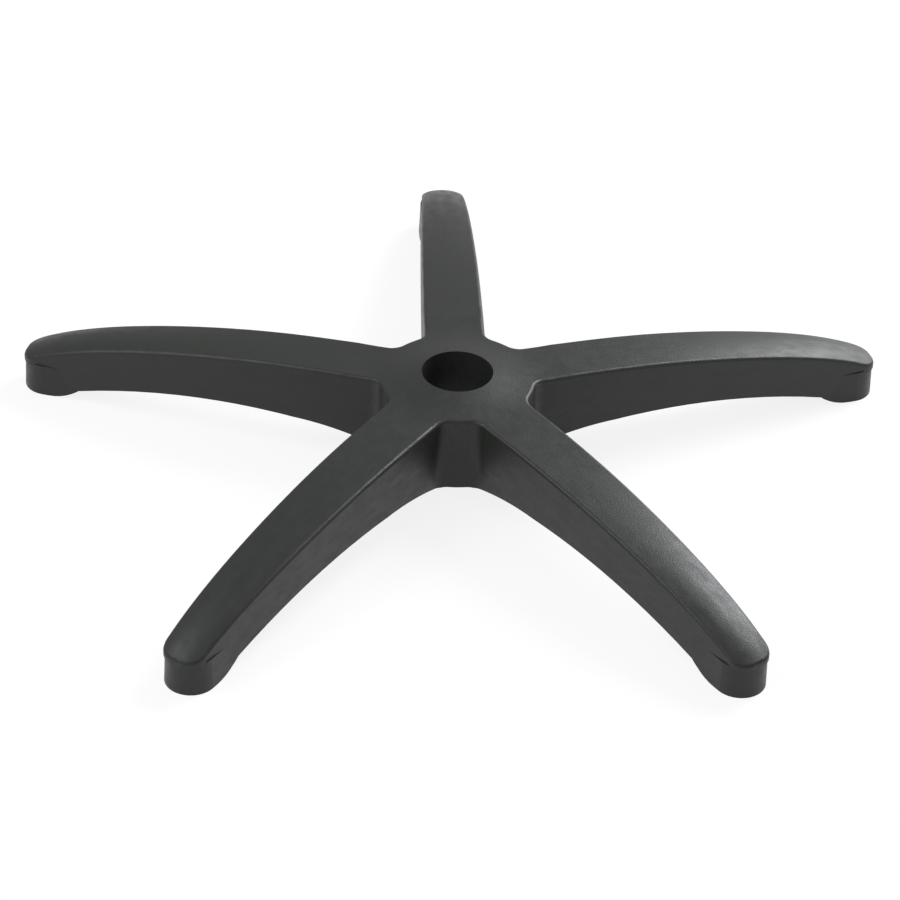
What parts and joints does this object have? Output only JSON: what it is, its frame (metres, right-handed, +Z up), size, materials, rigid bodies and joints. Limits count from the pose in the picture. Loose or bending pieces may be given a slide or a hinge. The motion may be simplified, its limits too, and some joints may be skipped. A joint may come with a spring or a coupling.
{
  "type": "swivel chair base",
  "caption": "Star base for a swivel chair, moulded in one piece, with a tapered gas-lift socket in its hub and a caster socket under the end of each arm.",
  "frame": {"origin": "centre of the gas-lift socket's mouth, at the top of the hub", "axes": "+Z up along the socket's axis, +Y along one arm"},
  "size_m": [0.6154, 0.5873, 0.0758],
  "materials": {
    "nylon": "satin"
  },
  "bodies": {
    "root": {"star_base": "nylon"}
  },
  "joints": []
}
